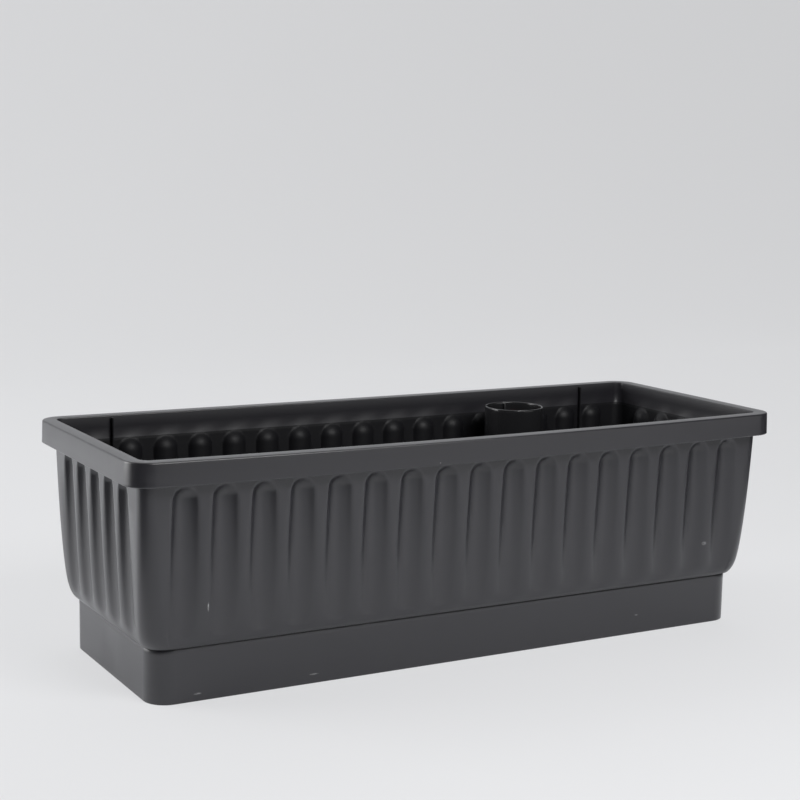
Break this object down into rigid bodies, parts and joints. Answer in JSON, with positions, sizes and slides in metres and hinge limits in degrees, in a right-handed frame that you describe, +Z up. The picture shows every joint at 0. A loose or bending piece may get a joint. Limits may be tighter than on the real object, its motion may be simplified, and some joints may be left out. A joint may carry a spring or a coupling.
{
  "type": "self watering planter",
  "caption": "Long rectangular trough planter with fluted walls and rolled rim, water reservoir in the plinth, false floor with wicking cups, fill tube and float gauge.",
  "frame": {"origin": "on the ground, under the centre of the tub's base", "axes": "+X along the length, +Z up, -Y towards the front"},
  "size_m": [0.8, 0.304, 0.254],
  "materials": {
    "tub_plastic": "satin moulded",
    "inner_plastic": "matte moulded",
    "tube_plastic": "satin moulded",
    "float_foam": "foam",
    "float_rod_plastic": "smooth",
    "marker_plastic": "smooth",
    "plug_rubber": "matte"
  },
  "bodies": {
    "tub": {"planter_tub": "tub_plastic"},
    "false_floor": {"divider_left": "inner_plastic", "divider_right": "inner_plastic", "divider_clip_front": "inner_plastic", "divider_clip_back": "inner_plastic", "soil_cup_1": "inner_plastic", "soil_cup_2": "inner_plastic", "soil_cup_3": "inner_plastic", "soil_cup_4": "inner_plastic", "support_leg_1": "inner_plastic", "support_leg_2": "inner_plastic", "support_leg_3": "inner_plastic", "support_leg_4": "inner_plastic", "support_leg_5": "inner_plastic", "support_leg_6": "inner_plastic", "tube_collar": "inner_plastic"},
    "tube": {"fill_tube": "tube_plastic", "float_guide": "inner_plastic"},
    "float": {"float_body": "float_foam", "float_rod": "float_rod_plastic", "float_marker": "marker_plastic"},
    "plug": {"drain_plug": "plug_rubber", "drain_seal": "plug_rubber"}
  },
  "joints": [
    {"name": "false_floor_lift", "type": "slide", "parent": "tub", "child": "false_floor", "axis": [0, 0, 1], "range_m": [0, 0.27]},
    {"name": "fill_tube_lift", "type": "slide", "parent": "false_floor", "child": "tube", "axis": [0, 0, 1], "range_m": [0, 0.26]},
    {"name": "float_rise", "type": "slide", "parent": "tube", "child": "float", "axis": [0, 0, 1], "range_m": [0, 0.035]},
    {"name": "drain_plug_pull", "type": "slide", "parent": "tub", "child": "plug", "axis": [0, 1, 0], "range_m": [0, 0.045]}
  ]
}
